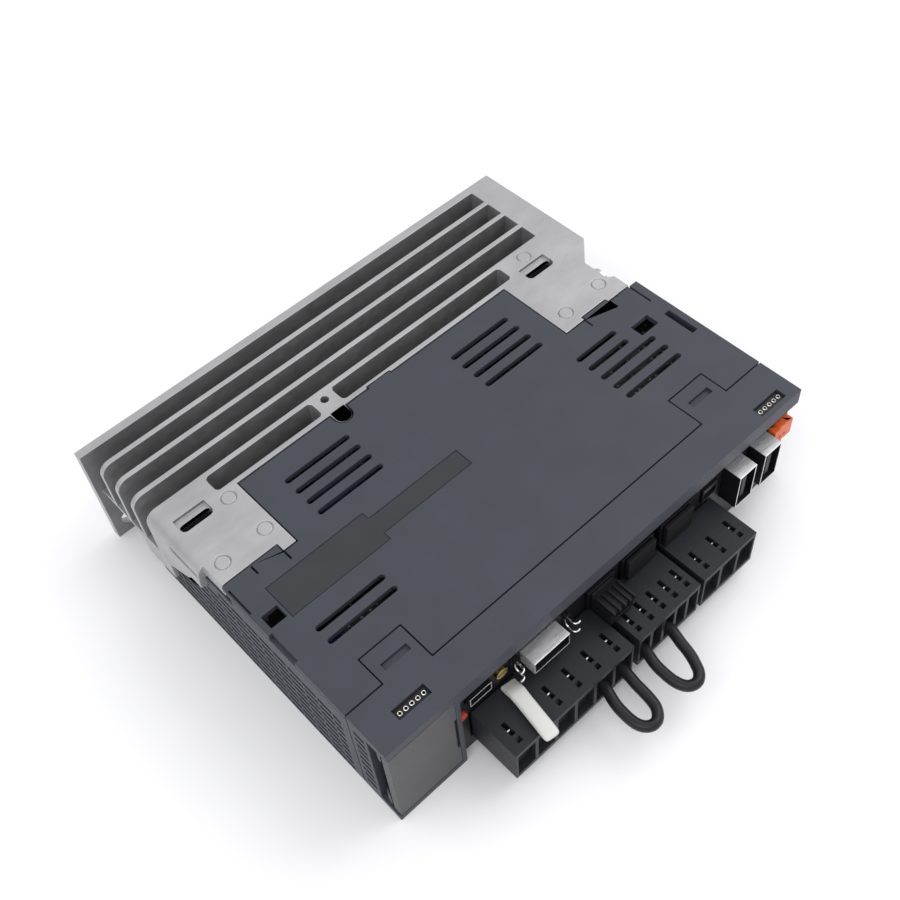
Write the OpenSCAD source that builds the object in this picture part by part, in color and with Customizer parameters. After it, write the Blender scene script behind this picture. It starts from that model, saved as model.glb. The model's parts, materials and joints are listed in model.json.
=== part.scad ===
// Servo drive lying on its left side.
// +X runs from the drive's top end to its bottom end, -Y is its front, +Z its right side.
// The origin is under the middle of the mounting plate, on the plane of the left side.

/* [Body] */
// Length of the aluminium mounting plate
plate_len = 168; // [160:1:180]
// Width of the drive, from its left side to its right side
drive_w = 42; // [40:1:50]
// Distance from the mounting face to the middle of the depth
back_y = 67.5; // [66:0.5:70]
// Distance from the middle of the depth to the front face
front_y = 68; // [67:0.5:70]
// Plastic case, end nearest the drive's top
case_top = 80; // [79:0.5:81]
// Plastic case, end nearest the drive's bottom
case_bottom = 81; // [80:0.5:82]
// Wall thickness of the moulded shells
wall = 2; // [1.6:0.1:2.4]

/* [Heatsink] */
// Thickness of the mounting plate
plate_t = 3.1; // [3:0.1:4]
// Distance from one cooling channel to the next
fin_pitch = 8.1; // [7.6:0.1:8.4]
// Width of a cooling channel
channel_w = 6.25; // [5:0.05:6.5]
// Height of the channel floor above the left side
channel_floor = 24; // [23:0.5:26]
// Thickness of the web under the channels
web_t = 4; // [3:0.5:4.5]
// Diameter of a mounting hole
mount_d = 6; // [5.5:0.1:6.5]
// Distance between the mounting holes
mount_pitch = 156; // [154:0.5:158]
// Height of the mounting holes above the left side
mount_z = 6; // [5:0.5:7]

/* [Power plugs] */
// Pole pitch of the mains plug and the motor plug
wide_pitch = 7.5; // [7:0.1:7.6]
// Pole pitch of the control supply plug
narrow_pitch = 5; // [4.8:0.1:5.1]
// Distance that the plugs stand out to
plug_front = 83; // [80:0.5:86]
// Underside of the plugs
plug_z0 = 5.5; // [5:0.1:6]
// Upper side of the plugs
plug_z1 = 20; // [19:0.1:20.4]
// Diameter of the insulated jumper wire
wire_d = 3.4; // [2.6:0.1:3.6]

/* [Boards] */
// Thickness of a circuit board
pcb_t = 1.6; // [1.2:0.1:1.8]
// Underside of the power board
power_z = 3; // [2.5:0.1:3.5]
// Underside of the control board
control_z = 31.6; // [31:0.1:32.5]

/* [Hidden] */
$fn = 48;
eps = 0.01;
seam = 0.4;      // gap between two shells
clear = 0.3;     // gap between bodies that move apart
seam_y = -53;    // plane where the front cover meets the casing
tab_y = -43.5;   // rear edge of the front cover's two tabs
metal_y = -3.5;  // front edge of the heatsink's two pads
pad_y = -0.5;    // front edge of the upper pad beside the cover's clip
pad_x = [-79.6, -60.8];
// top edge of the casing's end wall beside the upper pad, in Y and Z
end_wall = [[metal_y - 1, 36], [9, 36], [9, 31], [14, 31], [17, 27.5], [29, 20.4]];
mid_y = 23.4;    // rear edge of the right cover's middle field
mid_x = [-56, 49.5];
top_tab = [-67.4, -53.5];
low_tab = [51.4, 65.4];
cover_t = wall;
fin_r = 4;
vent_w = 1.9;
vent_pitch = 5;
louvre_rows = 9;
louvre_pitch = 3.7;
louvre_h = 1.9;
louvre_l = 5.75;
louvre_step = 6.3;
louvre_y = -45.1;
panel_y = -65.5; // front of the connector panel
plug_centres = [-28.4, 9.2, 35];
plug_poles = [6, 5, 3];
plug_pitches = [wide_pitch, narrow_pitch, wide_pitch];
io_x = [-32.6, -19.2];
io_z = [24.5, 30];
shell_front = -71.6;
encoder_x = [51.4, 62.8];
encoder_w = 7.6;
encoder_z = [15.3, 30];
optical_x = [7, 23];
optical_w = 13;
door_x = [-79.6, -57.2];
door_z = [2.6, 38.4];
hinge_x = -77.6;
hinge_y = -63.4;
hinge_d = 2;
knob_at = [-67.5, 17.5];
dip_at = [-67.5, 9];
recess_y = -60.2;             // wall behind the display door
latch_x = [-35.2, -16.2];     // hinge lines of the wire latches
latch_y = -67;
latch_d = 0.9;
lever_turn = -8;
lever_l = 10.6;               // from the lever's middle to its free end
lever_axis = 8.6;             // from the lever's middle to the round nose it turns on
nib_l = 0.9;                  // the cover's snap nibs reach this far over the heatsink
nibs = [[58.2, 68.2, metal_y], [-6.9, 1.7, mid_y]];
clip_slits = [[-70.6, -4.4], [-61.2, -7.2], [57.4, -7.2], [68.4, -7.2]];
service_at = [[-71, -63.2], [65.3, -66.2]];   // corners of the two header windows
notch_x = 71;                 // the casing's rear corners end here
notch_y = 44;
post_at = [[-60, -40], [60, -40], [-60, 15], [62, 14]];
standoff_at = [[-60, -40], [60, -40]];
module_screw_x = [-36, 12];
module_screw_y = 44;
earth_y = 8.7;
earth_z = [25.6, 36.2];
wire_z = 11.5;
// centre lines of the two jumpers, each from its first pole to its last
route_1 = [[-17.15, -76], [-17.15, -80], [-17.15, -83], [-17.9, -85.6], [-18.75, -88.4], [-19.2, -92],
    [-19.2, -95], [-18.8, -96.9], [-17.9, -98.4], [-16.7, -99.3], [-15.3, -99.6], [-13.9, -99.2],
    [-12.7, -98.2], [-11.7, -96.7], [-11.1, -94.6], [-10.7, -91.5], [-10.4, -88.2], [-9.95, -85.4],
    [-9.65, -83], [-9.65, -80], [-9.65, -76]];
route_2 = [[-0.8, -76], [-0.8, -80], [-0.8, -83], [-1.5, -85.5], [-2.2, -88.2], [-2.5, -92],
    [-2.3, -95.3], [-1.7, -97.3], [-0.7, -98.7], [0.5, -99.4], [1.9, -99.6], [3.2, -99.1],
    [4.4, -98.1], [5.7, -95.8], [7, -92.5], [7.9, -88.6], [8.8, -85.4], [9.2, -83],
    [9.2, -80], [9.2, -76]];

// A block between two opposite corners
module block(x, y, z) {
    translate([x[0], y[0], z[0]]) cube([x[1] - x[0], y[1] - y[0], z[1] - z[0]]);
}
// A cylinder along X, Y or Z that starts at p and is l long
module rod_x(p, d, l) { translate(p) rotate([0, 90, 0]) cylinder(d = d, h = l); }
module rod_y(p, d, l) { translate(p) rotate([-90, 0, 0]) cylinder(d = d, h = l); }
module rod_z(p, d, l) { translate(p) cylinder(d = d, h = l); }
// A slot with round ends along X, cut right through a plate
module slot_x(x, y, w, z) {
    block([x[0] + w / 2, x[1] - w / 2], [y - w / 2, y + w / 2], z);
    for (e = [x[0] + w / 2, x[1] - w / 2]) rod_z([e, y, z[0]], w, z[1] - z[0]);
}
// A pocket with round corners, cut down from the top
module pocket(x, y, r, z) {
    block([x[0] + r, x[1] - r], y, z);
    block(x, [y[0] + r, y[1] - r], z);
    for (px = [x[0] + r, x[1] - r]) for (py = [y[0] + r, y[1] - r]) rod_z([px, py, z[0]], 2 * r, z[1] - z[0]);
}
// Span of one power plug along X
function plug_half(i) = plug_poles[i] * plug_pitches[i] / 2 + 0.3;
function plug_span(i) = [plug_centres[i] - plug_half(i), plug_centres[i] + plug_half(i)];
function pole_x(i, k) = plug_centres[i] + (k - (plug_poles[i] - 1) / 2) * plug_pitches[i];

// ---------------------------------------------------------------- heatsink
module fin_profile(len0, len1, z0) {
    // outline in X and Z with the round corner that the fins have at the top end
    translate([0, back_y, 0]) rotate([90, 0, 0]) linear_extrude(back_y - metal_y)
        union() {
            translate([len0, z0]) square([len1 - len0, drive_w - fin_r - z0]);
            translate([len0 + fin_r, z0]) square([len1 - len0 - fin_r, drive_w - z0]);
            translate([len0 + fin_r, drive_w - fin_r]) circle(fin_r);
        }
}
// Outline in Y and Z of the end wall beside the upper pad, grown by g, down to the height z0
module end_wall_outline(g, z0) {
    polygon(concat([[end_wall[0][0], z0]], [for (p = end_wall) [p[0] + (p[0] > 0 ? g : 0), p[1] + g]],
        [[end_wall[5][0] + g, z0]]));
}
module pad_marks() {
    for (p = [[-61, 21.7], [-75, 5.4], [-60, 6], [64.5, 29.7], [72, 3.8], [56, 2.6], [-19, 21.4]])
        difference() {
            rod_z([p[0], p[1], drive_w - 0.3], 4.8, 1);
            rod_z([p[0], p[1], drive_w - 0.4], 4.2, 2);
        }
}
module heatsink() {
    web_z = channel_floor - web_t;
    color("silver") difference() {
        union() {
            block([-plate_len / 2, plate_len / 2], [back_y - plate_t, back_y], [0, drive_w]);
            intersection() {
                fin_profile(-82, plate_len / 2, 13);
                union() {
                    block([-82, 84], [24, back_y], [web_z, drive_w]);
                    translate([0, 0, web_z]) linear_extrude(drive_w - web_z)
                        polygon([[-82, 25], [-82, 8.4], [pad_x[0], 8.4], [pad_x[0], pad_y],
                            [pad_x[1], pad_y], [pad_x[1], metal_y],
                            [mid_x[0] - seam, metal_y], [mid_x[0] - seam, 25]]);
                    translate([0, 0, web_z]) linear_extrude(drive_w - web_z)
                        polygon([[mid_x[1] + seam, 25], [84, 25], [84, 21.4], [76, 13.4],
                            [76, 4], [78, 2.5], [78, metal_y], [mid_x[1] + seam, metal_y]]);
                    // skirt outside the casing's end wall
                    block([-82, -case_top - seam], [29.8, notch_y - seam], [13.2, web_z + 1]);
                    rod_z([-19, 21.6, web_z], 5.6, drive_w - web_z);
                    block([-21.8, -16.2], [21.6, 25], [web_z, drive_w]);
                }
            }
        }
        for (i = [0:3])
            block([-90, 74], [back_y - plate_t - i * fin_pitch - channel_w,
                back_y - plate_t - i * fin_pitch], [channel_floor, drive_w + 1]);
        for (x = [[-62, -23.2], [-15.1, 55]])
            pocket(x, [25.75, 32], 1.4, [channel_floor, drive_w + 1]);
        // the pads are cored from below and pierced by two windows, each with a shallow ledge behind it
        block([-77.5, mid_x[0] - 3], [2, 26.3], [web_z - 1, drive_w - 3]);
        block([mid_x[1] + 4, 71], [0, 26.1], [web_z - 1, drive_w - 3]);
        for (x = [[-77.2, -66.6], [58.7, 69.5]]) {
            block(x, [22.6, 26.2], [drive_w - 1.2, drive_w + 1]);
            slot_x(x, 22.2, 3.2, [web_z, drive_w + 1]);
        }
        // room for the casing's end wall, and a slit under the upper pad's outer edge
        translate([-83, 0, 0]) rotate([90, 0, 90]) linear_extrude(5.4) end_wall_outline(seam, web_z - 1);
        block([-83, -80.6], [9.3, 22.6], [36, 38.6]);
        for (s = [[-85, -71.4], [71.4, 83]])
            block(s, [notch_y + seam, back_y - plate_t], [web_z - 1, channel_floor - 1.4]);
        for (n = nibs)
            block([n[0] - seam, n[1] + seam], [n[2] - 2, n[2] + nib_l + seam], [drive_w - 3, drive_w + 1]);
        for (s = [-1, 1])
            rod_y([s * mount_pitch / 2, back_y - plate_t - 1, mount_z], mount_d, plate_t + 2);
        rod_z([-19.1, 29.9, drive_w - 8], 2.6, 10);
        for (x = module_screw_x) rod_z([x, module_screw_y, web_z - 1], 3, 3.6);
        for (z = earth_z) rod_x([69, earth_y, z], 4, 10);
        pad_marks();
    }
}

// ---------------------------------------------------------------- moulded shells
// Rows of short slots in an end wall, in the columns from number k0 to number k1
module louvres(x, k0, k1, z_top) {
    for (r = [0:louvre_rows - 1]) {
        z = [1.2 + r * louvre_pitch, 1.2 + r * louvre_pitch + louvre_h];
        if (z[1] < z_top) for (k = [k0:k1])
            block(x, [louvre_y + k * louvre_step, louvre_y + k * louvre_step + louvre_l], z);
    }
}
// Plan of the casing, shrunk by t all round; the rear corners leave room for the mounting screws
module casing_plan(t, front) {
    rear = back_y - plate_t - seam - t;
    polygon([[-case_top + t, front], [case_bottom - t, front], [case_bottom - t, notch_y - t],
        [notch_x - t, notch_y - t], [notch_x - t, rear], [-notch_x + t, rear],
        [-notch_x + t, notch_y - t], [-case_top + t, notch_y - t]]);
}
module rear_casing() {
    low = channel_floor - web_t - seam;   // underside of the heatsink web
    high = drive_w - cover_t - seam;
    color("dimgray") difference() {
        union() {
            difference() {
                union() {
                    linear_extrude(low) casing_plan(0, seam_y + seam);
                    block([-case_top, case_bottom], [seam_y + seam, metal_y - seam], [0, high]);
                }
                translate([0, 0, wall]) linear_extrude(drive_w) casing_plan(wall, seam_y - 1);
            }
            for (p = post_at) rod_z([p[0], p[1], 0], 9, power_z);
            // end wall that rises beside the heatsink's upper pad
            translate([-case_top, 0, 0]) rotate([90, 0, 90]) linear_extrude(wall)
                end_wall_outline(0, low - 2);
        }
        top_x = [-case_top - 1, -case_top + wall + 1];
        low_x = [case_bottom - wall - 1, case_bottom + 1];
        for (r = [0:louvre_rows - 1])
            block(top_x, [-49, -45.7], [1.2 + r * louvre_pitch, 1.2 + r * louvre_pitch + louvre_h]);
        louvres(top_x, 0, 7, high - 2);
        louvres(top_x, 8, 8, 30);
        louvres(top_x, 9, 9, 26);
        louvres(top_x, 10, 10, 22.5);
        louvres(top_x, 11, 13, low - 1);
        louvres(low_x, 0, 5, high - 2);
        louvres(low_x, 6, 13, low - 1);
        // the lower end wall is open under the right cover's narrow slot
        block(low_x, [-31.5, -19], [30, high + 1]);
        for (p = post_at) {
            rod_z([p[0], p[1], -1], 3.2, 10);
            rod_z([p[0], p[1], -1], 6, 3.1);
        }
    }
}
module cover_field() {
    union() {
        translate([-case_top, seam_y + seam])
            square([case_top + case_bottom, metal_y - seam_y - 2 * seam]);
        translate([mid_x[0], metal_y - 1]) square([mid_x[1] - mid_x[0], mid_y - metal_y + 1]);
        translate([-case_top, metal_y - 1])
            square([pad_x[1] - seam + case_top, pad_y - seam - metal_y + 1]);
        translate([top_tab[1] + seam, seam_y - 2.5])
            square([low_tab[0] - top_tab[1] - 2 * seam, 5]);
        // nibs of the snap hooks
        for (n = nibs) translate([n[0], n[2] - 1]) square([n[1] - n[0], nib_l + 1]);
    }
}
module right_cover() {
    z = [drive_w - cover_t, drive_w];
    color("slategray") difference() {
        union() {
            translate([0, 0, z[0]]) linear_extrude(cover_t) difference() {
                cover_field();
                translate([-19, 21.6]) circle(d = 6.6);
                translate([-22.3, 21.6]) square([6.6, 4]);
                for (t = [top_tab, low_tab])
                    translate([t[0] - seam, seam_y - 1])
                        square([t[1] - t[0] + 2 * seam, tab_y - seam_y + 1 + seam]);
            }
            // rim that stiffens the cover's edge and centres it in the casing
            difference() {
                block([-case_top + wall + clear, case_bottom - wall - clear],
                    [tab_y + 1, metal_y - 1], [z[0] - 2, z[0]]);
                block([-case_top + wall + 2, case_bottom - wall - 2],
                    [tab_y + 2.4, metal_y - 2.4], [z[0] - 3, z[0] + eps]);
            }
        }
        for (k = [0:3]) for (x = [[-46.4, -22.8], [18.2, 41.7]])
            slot_x(x, 14.1 - k * vent_pitch, vent_w, [z[0] - 3, z[1] + 1]);
        for (k = [0:4])
            slot_x([43.9, k < 2 ? 60.6 : 67.3], -13.8 - k * vent_pitch, vent_w, [z[0] - 3, z[1] + 1]);
        for (k = [0:1])
            slot_x([-70, -46.5], -29.1 - k * vent_pitch, vent_w, [z[0] - 3, z[1] + 1]);
        block([-78, -72.7], [-20.3, -15.7], [z[0] - 3, z[1] + 1]);
        block([65.1, 72.4], [-20.8, -16.1], [z[0] - 3, z[1] + 1]);
        block([-81, -78.7], [-32.5, -21.5], [z[0] - 1, z[1] + 1]);
        block([76.4, 78.6], [-31, -19.6], [z[0] - 3, z[1] + 1]);
        for (s = [[-79.6, -79.0], [77.4, 78]])
            block(s, [-13, -3], [z[0] + 0.8, z[1] + 1]);
        for (s = clip_slits) block([s[0], s[0] + 0.6], [s[1], s[1] + 3.2], [z[0] - 1, z[1] + 1]);
        // recess of the rating plate
        translate([0, 0, z[1] - 0.5]) linear_extrude(1) plate_field(0.25);
    }
}
module plate_field(grow) {
    translate([-71.6 - grow, -21.3 - grow]) square([33.8 + 2 * grow, 11.6 + 2 * grow]);
    translate([-38 - grow, -18.6 - grow]) square([33.3 + 2 * grow, 6.3 + 2 * grow]);
}
module rating_plate() {
    color([0.2, 0.2, 0.22]) translate([0, 0, drive_w - 0.5]) linear_extrude(0.25) plate_field(0);
}
// Openings of the connector panel, each in X and Z
function panel_holes() = [
    [[-52.6, -43.6], [26.4, 31.3]],
    [[io_x[0] - clear, io_x[1] + clear], [io_z[0] - clear, io_z[1] + 1.2]],
    [[-7.1, 4.1], [19.9, 29.1]],
    [[optical_x[0] - 0.5, optical_x[1] + optical_w + 0.5], [19.9, 30.6]],
    [[41.2, 48.8], [21.9, 28.6]],
    [[encoder_x[0] - clear, encoder_x[0] + encoder_w + clear], [encoder_z[0] - clear, 31.4]],
    [[encoder_x[1] - clear, encoder_x[1] + encoder_w + clear], [encoder_z[0] - clear, 31.4]],
    [[71, 78.7], [23.2, 31]]];
module front_cover() {
    zt = drive_w - cover_t;
    inner = [-case_top + wall, case_bottom - wall];
    color([0.36, 0.37, 0.4]) difference() {
        union() {
            difference() {
                block([-case_top, case_bottom], [-front_y, seam_y], [0, drive_w]);
                block([inner[0], inner[1]], [panel_y + wall, seam_y + 1], [wall, zt]);
                // step back from the top edge to the connector panel
                block([door_x[1] + 1.6, case_bottom + 1], [-front_y - 1, panel_y], [-1, 36]);
                // field behind the display door
                block([door_x[0] - 1, door_x[1]], [-front_y - 1, recess_y],
                    [door_z[0] - clear, door_z[1] + clear]);
            }
            block([inner[0], door_x[1] + 1.6], [recess_y, recess_y + 1.6], [wall, zt]);
            block([door_x[1], door_x[1] + 1.6], [-front_y, recess_y + 1.6], [wall, zt]);
            for (t = [top_tab, low_tab]) block(t, [seam_y - 3, tab_y], [zt, drive_w]);
            // knuckles of the door hinge
            for (z = [[0, door_z[0] - clear], [door_z[1] + clear, drive_w]])
                block([-case_top, hinge_x + 2], [-front_y, recess_y + 1], z);
        }
        // the right cover's middle reaches forward between the two tabs
        block([top_tab[1], low_tab[0]], [seam_y - 2.5 - seam, seam_y + 1], [zt - 1, drive_w + 1]);
        block([-64.6, -55.8], [-50.4, -48.3], [zt + 0.8, drive_w + 1]);
        block([54.3, 62.8], [-50.1, -47.9], [zt + 0.8, drive_w + 1]);
        for (w = service_at) block([w[0], w[0] + 10.8], [w[1], w[1] + 3.4], [36, drive_w + 1]);
        block([service_at[0][0], service_at[0][0] + 10.8], [service_at[0][1], -58], [36, 38.1]);
        for (x = [[-case_top - 1, inner[0] + 1], [inner[1] - 1, case_bottom + 1]])
            for (r = [0:louvre_rows - 1])
                block(x, [-58.8, -54.6], [5 + r * louvre_pitch, 5 + louvre_h + r * louvre_pitch]);
        for (h = panel_holes()) block(h[0], [panel_y - 1, panel_y + wall + 1], h[1]);
        for (i = [0:2])
            block([plug_span(i)[0] - clear, plug_span(i)[1] + clear], [panel_y - 1, panel_y + wall + 1],
                [plug_z0 - clear, plug_z1 - 0.4]);
        // windows behind the door for the display, the selector and the switches
        block([-75, -60], [-62, -58], [25, 35.4]);
        block([knob_at[0] - 4.6, knob_at[0] + 4.6], [-62, -58], [knob_at[1] - 4.6, knob_at[1] + 4.6]);
        block([dip_at[0] - 4.4, dip_at[0] + 4.4], [-62, -58], [dip_at[1] - 2.2, dip_at[1] + 2.2]);
        rod_z([hinge_x, hinge_y, -1], hinge_d - 0.02, drive_w - 1);
        rod_y([-40, panel_y - 1, 29], 2.7, 4);
        rod_y([-54, panel_y - 1, 22], 3.2, 4);
        for (k = [0:7]) block([-20 + k * 6, -17 + k * 6], [-60, -56.4], [-1, wall + 1]);
    }
}
module display_door() {
    y0 = -front_y;
    color([0.4, 0.41, 0.42]) difference() {
        union() {
            difference() {
                block(door_x, [y0, -64.8], door_z);
                block([-77, door_x[1] - 1.6], [y0 + 1.8, -64], [door_z[0] + 1.6, door_z[1] - 1.6]);
            }
            for (z = [[door_z[0], door_z[0] + 7], [door_z[1] - 7, door_z[1]]]) {
                rod_z([hinge_x, hinge_y, z[0]], 3.6, z[1] - z[0]);
                block([hinge_x - 1.8, hinge_x + 1.8], [-66.5, hinge_y], z);
            }
        }
        rod_z([hinge_x, hinge_y, -1], hinge_d + 0.1, drive_w + 2);
        // finger groove at the free edge
        block([door_x[1] - 0.9, door_x[1] + 1], [y0 - 1, y0 + 0.9], [12, 29]);
    }
}
module door_pins() {
    color("lightgray") {
        rod_z([hinge_x, hinge_y, 0.6], hinge_d, 8);
        rod_z([hinge_x, hinge_y, drive_w - 10], hinge_d, 7.8);
    }
}

// ---------------------------------------------------------------- boards and what they carry
module power_board() {
    color("darkgreen") difference() {
        union() {
            block([-76, 77], [-56, 60.5], [power_z, power_z + pcb_t]);
            block([-50, 48], [-62, -55], [power_z, power_z + pcb_t]);
        }
        for (p = post_at) rod_z([p[0], p[1], 0], 3.2, 9);
        for (s = [-1, 1]) block([s * 80 - 11.5, s * 80 + 11.5], [41.5, 70], [0, 9]);
        for (i = [0:2]) for (k = [0:plug_poles[i] - 1])
            block([pole_x(i, k) - 0.5, pole_x(i, k) + 0.5], [-44.1, -42.5], [2, 6]);
    }
}
module control_board() {
    color("green") difference() {
        block([-64, 78], [-55.4, -8.5], [control_z, control_z + pcb_t]);
        for (p = standoff_at) rod_z([p[0], p[1], 30], 3.2, 9);
    }
}
module hex_post(p, h) {
    translate([p[0], p[1], power_z + pcb_t]) cylinder(d = 6, h = h, $fn = 6);
}
module standoffs() {
    // two long hexagonal pillars carry the control board, two nuts hold the power board's rear
    color("gold") {
        for (p = standoff_at) difference() {
            hex_post(p, control_z - power_z - pcb_t);
            rod_z([p[0], p[1], power_z], 3, 6);
            rod_z([p[0], p[1], control_z - 6], 3, 8);
        }
        for (k = [2, 3]) difference() {
            hex_post(post_at[k], 3);
            rod_z([post_at[k][0], post_at[k][1], power_z], 3, 6);
        }
    }
}
module display_board() {
    color("darkgreen") block([-77, -58.5], [-57.2, -57.2 + pcb_t], [5, 38]);
}
module board_link() {
    // two stacking connectors between the boards
    color("ivory") for (x = [-45, 60]) {
        block([x, x + 18], [-12.5, -8], [power_z + pcb_t, 17.8]);
        block([x + 0.8, x + 17.2], [-11.9, -8.6], [17.8, control_z]);
    }
}
module power_module() {
    color([0.15, 0.15, 0.16]) difference() {
        block([-40, 16], [29, 59], [channel_floor - web_t - 6.9, channel_floor - web_t - 0.5]);
        for (x = module_screw_x) rod_z([x, module_screw_y, 5], 3.4, 20);
    }
}
module thermal_pad() {
    z = channel_floor - web_t;
    color([0.8, 0.8, 0.85]) difference() {
        block([-40, 16], [29, 59], [z - 0.5, z]);
        for (x = module_screw_x) rod_z([x, module_screw_y, 5], 3.4, 20);
    }
}
module module_pins() {
    z1 = channel_floor - web_t - 6.9;
    color("gold") for (x = [-34:4:10]) for (y = [31, 57])
        rod_z([x, y, power_z + pcb_t], 1, z1 - power_z - pcb_t);
}
module bus_capacitors() {
    color([0.12, 0.12, 0.2]) for (x = [-32, -8, 16])
        difference() {
            rod_z([x, 4, power_z + pcb_t], 22, 30);
            rod_z([x, 4, power_z + pcb_t + 29.6], 19, 2);
        }
}
module film_capacitors() {
    color("goldenrod") for (x = [38, 46.5, 55]) block([x, x + 6.5], [-36, -22], [power_z + pcb_t, 17]);
}
module inrush_relay() {
    color("royalblue") block([-70, -51], [-34, -19], [power_z + pcb_t, 20]);
}
module filter_choke() {
    color("peru") difference() {
        rod_z([-64, 0, power_z + pcb_t], 21, 11);
        rod_z([-64, 0, 0], 9, 30);
    }
}
module supply_transformer() {
    color([0.25, 0.22, 0.2]) union() {
        block([30, 52], [-16, 4], [power_z + pcb_t, 20]);
        block([33, 49], [-18.5, 6.5], [power_z + pcb_t + 2, 18]);
    }
}
module control_chips() {
    // soldered to the lower face of the control board
    color([0.1, 0.1, 0.1]) for (c = [[-6, -40, 17], [22, -42, 14], [-38, -40, 9], [40, -40, 10]])
        block([c[0], c[0] + c[2]], [c[1], c[1] + c[2]], [control_z - 1.6, control_z]);
}
module display_module() {
    color([0.15, 0.02, 0.02]) difference() {
        block([-74.7, -60.3], [-62.2, -57.2], [25.3, 35.1]);
        for (k = [0:2]) block([-73.8 + k * 4.6, -70.2 + k * 4.6], [-63, -62], [26.6, 33.8]);
    }
}
module selector_body() {
    color([0.2, 0.2, 0.2]) difference() {
        block([knob_at[0] - 4.2, knob_at[0] + 4.2], [-59.7, -57.2], [knob_at[1] - 4.2, knob_at[1] + 4.2]);
        rod_y([knob_at[0], -60, knob_at[1]], 2.06, 2);
    }
}
module selector_knob() {
    color("white") difference() {
        union() {
            rod_y([knob_at[0], -62.8, knob_at[1]], 6.6, 2.8);
            rod_y([knob_at[0], -60.1, knob_at[1]], 2, 1.9);
        }
        block([knob_at[0] - 0.5, knob_at[0] + 0.5], [-63, -61.9], [knob_at[1] - 2.6, knob_at[1] + 2.6]);
    }
}
module dip_body() {
    color("red") difference() {
        block([dip_at[0] - 4, dip_at[0] + 4], [-60.9, -57.2], [dip_at[1] - 1.9, dip_at[1] + 1.9]);
        block([dip_at[0] - 3.6, dip_at[0] + 3.6], [-61, -59.3], [dip_at[1] - 1.5, dip_at[1] + 1.5]);
    }
}
module dip_lever(k) {
    x = dip_at[0] - 3.15 + k * 1.8;
    color("white") block([x, x + 0.9], [-61.5, -59.35], [dip_at[1] - 1.2, dip_at[1] + 0.1]);
}
module charge_lamp() {
    color([0.9, 0.2, 0.1]) union() {
        rod_y([-54, panel_y - 0.8, 22], 3, 3.6);
        block([-55.2, -52.8], [panel_y + 2.8, panel_y + 6], [20.8, 23.2]);
        block([-54.5, -53.5], [panel_y + 5, panel_y + 6], [22, control_z]);
        block([-54.5, -53.5], [panel_y + 5, -54], [control_z - 1, control_z]);
    }
}

// ---------------------------------------------------------------- power connectors
module power_header(i) {
    s = plug_span(i);
    x = [s[0] + 0.1, s[1] - 0.1];
    color([0.17, 0.17, 0.19]) difference() {
        block(x, [panel_y + wall + 0.2, -44], [power_z + pcb_t, plug_z1]);
        block([x[0] + 1, x[1] - 1], [-70, -48], [plug_z0 + 1, plug_z1 - 1]);
        for (k = [0:plug_poles[i] - 1])
            block([pole_x(i, k) - 0.4, pole_x(i, k) + 0.4], [-49, -43], [11.3, 13.7]);
    }
}
module header_blades() {
    color("goldenrod") for (i = [0:2]) for (k = [0:plug_poles[i] - 1])
        union() {
            block([pole_x(i, k) - 0.4, pole_x(i, k) + 0.4], [-58, -42.6], [11.3, 13.7]);
            block([pole_x(i, k) - 0.4, pole_x(i, k) + 0.4], [-44, -42.6], [power_z, 13.7]);
        }
}
// Position of the opening lever on the mains plug
module lever_place() {
    translate([-39.4, -76.1, plug_z1]) rotate([0, 0, lever_turn]) children();
}
module power_plug(i) {
    s = plug_span(i);
    x = [s[0] + 0.1, s[1] - 0.1];
    rim = panel_y - clear;
    color([0.16, 0.16, 0.18]) difference() {
        union() {
            block(x, [-plug_front, rim], [plug_z0, plug_z1]);
            block([x[0] + 1.3, x[1] - 1.3], [rim - eps, -50], [plug_z0 + 1.4, plug_z1 - 1.4]);
        }
        for (k = [0:plug_poles[i] - 1]) {
            c = pole_x(i, k);
            h = plug_pitches[i] / 2 - 0.6;
            // funnel, wire hole, contact chamber, spring slot and test hole
            block([c - h, c + h], [-plug_front - 1, -plug_front + 2.4], [plug_z0 + 1.6, plug_z1 - 2]);
            rod_y([c, -plug_front, wire_z], min(wire_d + 0.2, 2 * h), 9);
            block([c - 1.5, c + 1.5], [-73.5, -49], [plug_z0 + 3, 16]);
            block([c - 0.7, c + 0.7], [-78.1, -73.8], [14, plug_z1 + 1]);
            block([c - 1, c + 1], [-78.1, -73.4], [14, 16]);
            block([c - 0.8, c + 0.8], [-80.8, -79.2], [16, plug_z1 + 1]);
        }
        if (i == 0) lever_place() rod_x([-2.8, lever_axis, 0], 2.6, 5.6);
    }
}
module plug_contacts(i) {
    color("silver") for (k = [0:plug_poles[i] - 1]) {
        c = pole_x(i, k);
        union() {
            block([c - 1.2, c + 1.2], [-73, -51], [14.6, 15.4]);
            block([c - 1.2, c + 1.2], [-73, -51], [9, 9.8]);
            block([c - 1.2, c + 1.2], [-73, -71.8], [9, 15.4]);
            block([c - 0.8, c + 0.8], [-77, -72.5], [14.7, 15.3]);
        }
    }
}
// An insulated wire bent into a loop between two poles of one plug
module jumper(route) {
    color([0.1, 0.1, 0.1]) for (k = [1:len(route) - 1])
        hull() for (p = [route[k - 1], route[k]])
            translate([p[0], p[1], wire_z]) sphere(d = wire_d, $fn = 14);
}
module opening_lever() {
    // its nose lies in a round groove of the mains plug and its free end lifts
    side = [[-lever_l, 1.9], [-lever_l, 1.1], [1 - lever_l, 0.3], [lever_axis, 0.3],
        [lever_axis, 1.25], [lever_axis - 1.4, 2.4], [lever_axis - 3.4, 3.3], [1.8 - lever_l, 3.3]];
    color("white") lever_place() union() {
        translate([-2.5, 0, 0]) rotate([90, 0, 90]) linear_extrude(5) polygon(side);
        rod_x([-2.5, lever_axis, 0], 2.5, 5);
    }
}

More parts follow.
